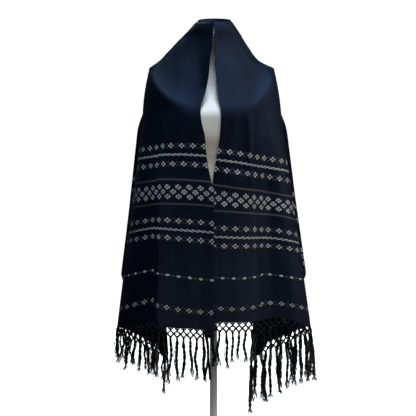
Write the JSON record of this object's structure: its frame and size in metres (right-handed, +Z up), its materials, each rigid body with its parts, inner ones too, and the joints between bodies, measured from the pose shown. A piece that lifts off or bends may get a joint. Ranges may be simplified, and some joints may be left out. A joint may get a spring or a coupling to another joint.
{
  "type": "rebozo shawl draped on a limbless dress form on a round stand",
  "caption": "Long fringed rebozo shawl with woven bands, draped over the shoulders of a limbless dress form on a pole and round base.",
  "frame": {"origin": "centre of the underside of the round base, on the floor", "axes": "+Z up along the pole, -Y towards the wearer's front, +X to the viewer's right when facing the front"},
  "size_m": [0.6069, 0.2858, 1.2686],
  "materials": {
    "cotton": "plain-woven navy cotton with white brocaded bands",
    "cotton_fringe": "knotted navy cotton threads with pale frayed ends",
    "form_cover": "smooth white jersey cover",
    "form_cap": "satin white",
    "stand_paint": "satin white paint"
  },
  "bodies": {
    "root": {"cloth_front_left": "cotton", "cloth_front_right": "cotton", "cloth_back": "cotton", "fringe_left": "cotton_fringe", "fringe_right": "cotton_fringe", "form_torso": "form_cover", "form_neck_cap": "form_cap", "stand_pole": "stand_paint", "stand_base": "stand_paint"}
  },
  "joints": []
}
